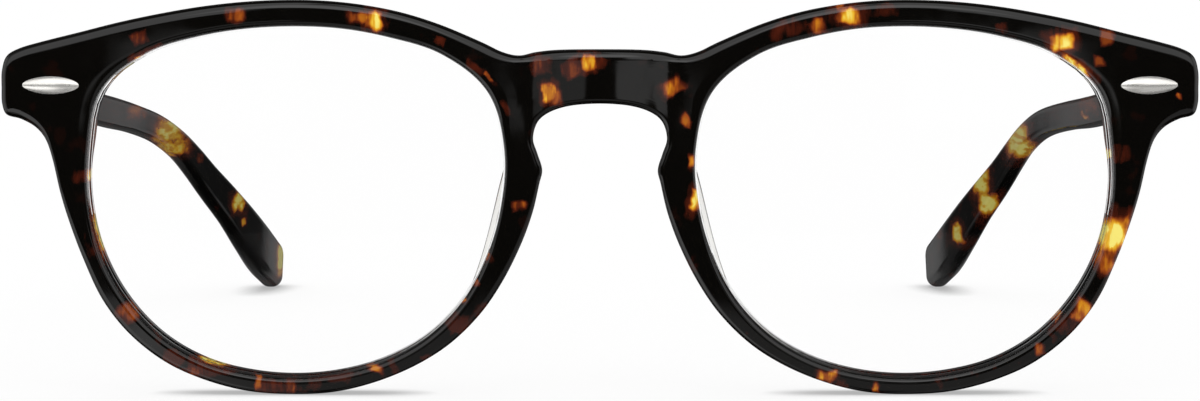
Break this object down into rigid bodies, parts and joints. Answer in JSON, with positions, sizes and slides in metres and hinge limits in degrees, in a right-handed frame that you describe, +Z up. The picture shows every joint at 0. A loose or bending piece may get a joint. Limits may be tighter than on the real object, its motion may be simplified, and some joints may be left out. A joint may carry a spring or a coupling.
{
  "type": "eyeglasses",
  "caption": "Full-rim tortoiseshell spectacles with a keyhole bridge, clear lenses, silver end-piece plaques and temples that fold on barrel hinges.",
  "frame": {"origin": "middle of the bounding box, on the table that the spectacles rest on, temples open", "axes": "+Z up, the face of the front towards -Y, the temples run towards +Y, +X to the right as seen from the front"},
  "size_m": [0.1388, 0.1404, 0.0459],
  "materials": {
    "tortoiseshell": "polished tortoiseshell, near-black brown with red-brown and amber patches",
    "lens": "clear, polished on both sides",
    "clear_acetate": "clear crystal, polished",
    "satin_silver": "satin silver plating",
    "hinge_metal": "bare nickel silver"
  },
  "bodies": {
    "front": {"front_frame": "tortoiseshell", "left_lens": "lens", "left_nose_pad": "clear_acetate", "left_front_plaque": "satin_silver", "left_front_hinge_leaf": "hinge_metal", "left_hinge_screw": "hinge_metal", "right_lens": "lens", "right_nose_pad": "clear_acetate", "right_front_plaque": "satin_silver", "right_front_hinge_leaf": "hinge_metal", "right_hinge_screw": "hinge_metal"},
    "left_temple": {"left_temple": "tortoiseshell", "left_temple_hinge_leaf": "hinge_metal", "left_core_wire": "hinge_metal", "left_temple_rivets": "hinge_metal"},
    "right_temple": {"right_temple": "tortoiseshell", "right_temple_hinge_leaf": "hinge_metal", "right_core_wire": "hinge_metal", "right_temple_rivets": "hinge_metal"}
  },
  "joints": [
    {"name": "left_temple_fold", "type": "hinge", "parent": "front", "child": "left_temple", "pos_m": [-0.0635, -0.06246, 0.03621], "axis": [0, 0.0436, -0.999], "range_deg": [0, 76]},
    {"name": "right_temple_fold", "type": "hinge", "parent": "front", "child": "right_temple", "pos_m": [0.0635, -0.06246, 0.03621], "axis": [0, -0.0436, 0.999], "range_deg": [0, 82]}
  ]
}
